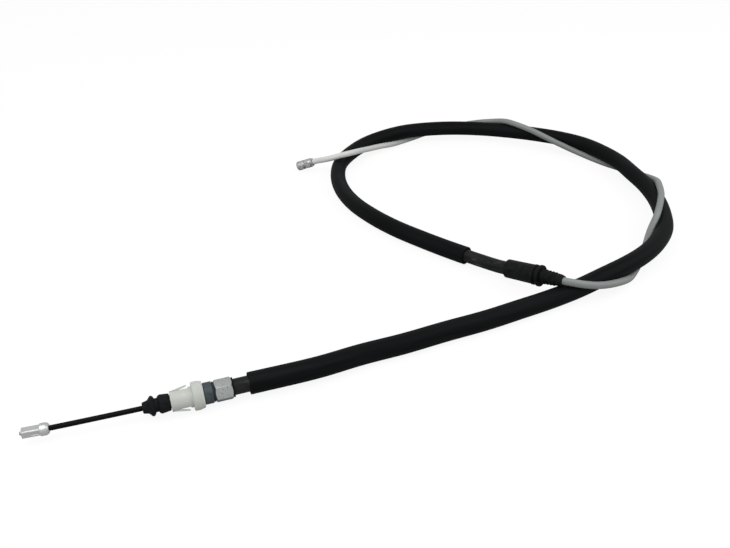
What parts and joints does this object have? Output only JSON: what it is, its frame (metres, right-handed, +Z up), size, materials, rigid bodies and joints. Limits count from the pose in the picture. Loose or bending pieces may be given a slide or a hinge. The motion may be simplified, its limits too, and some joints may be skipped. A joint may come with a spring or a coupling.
{
  "type": "parking brake cable",
  "caption": "Parking brake cable in a black sleeve, with a hex ferrule, snap-in clip, dust boot and square end block at one end, and a grey sheathed tail with a nipple at the other",
  "frame": {"origin": "centre of the bounding box's bottom face, on the floor the cable lies on", "axes": "+Z up; -X towards the square end block at the brake end; +Y towards the far side of the loop"},
  "size_m": [0.5286, 0.5149, 0.0288],
  "materials": {
    "die_cast_zinc": "die-cast, dull with brighter rubbed edges",
    "steel_rope": "drawn wire",
    "black_plastic": "smooth extruded",
    "black_rubber": "moulded",
    "natural_nylon": "moulded, slightly translucent",
    "slate_plastic": "moulded",
    "zinc_plated_steel": "zinc plated",
    "sleeve_plastic": "satin extruded",
    "liner_plastic": "extruded",
    "grey_sheath": "smooth extruded"
  },
  "bodies": {
    "casing": {"dust_boot": "black_rubber", "snap_clip": "natural_nylon", "spacer_sleeve": "slate_plastic", "front_seal_ring": "black_rubber", "hex_ferrule": "zinc_plated_steel", "rear_seal_ring": "black_rubber", "protective_sleeve": "sleeve_plastic", "conduit_jacket": "black_plastic", "conduit_armour": "steel_rope", "conduit_liner": "liner_plastic", "inner_rope": "steel_rope", "lever_end_housing": "black_plastic", "conduit_crimp": "zinc_plated_steel", "retaining_ring": "black_plastic", "lever_end_bellows": "black_rubber", "tail_sheath": "grey_sheath", "tail_nipple": "die_cast_zinc"},
    "brake_end": {"brake_end_block": "die_cast_zinc", "brake_end_rope": "steel_rope", "brake_end_coat": "black_plastic"}
  },
  "joints": [
    {"name": "cable_pull", "type": "slide", "parent": "casing", "child": "brake_end", "axis": [-0.9455, -0.3256, 0], "range_m": [0, 0.03]}
  ]
}
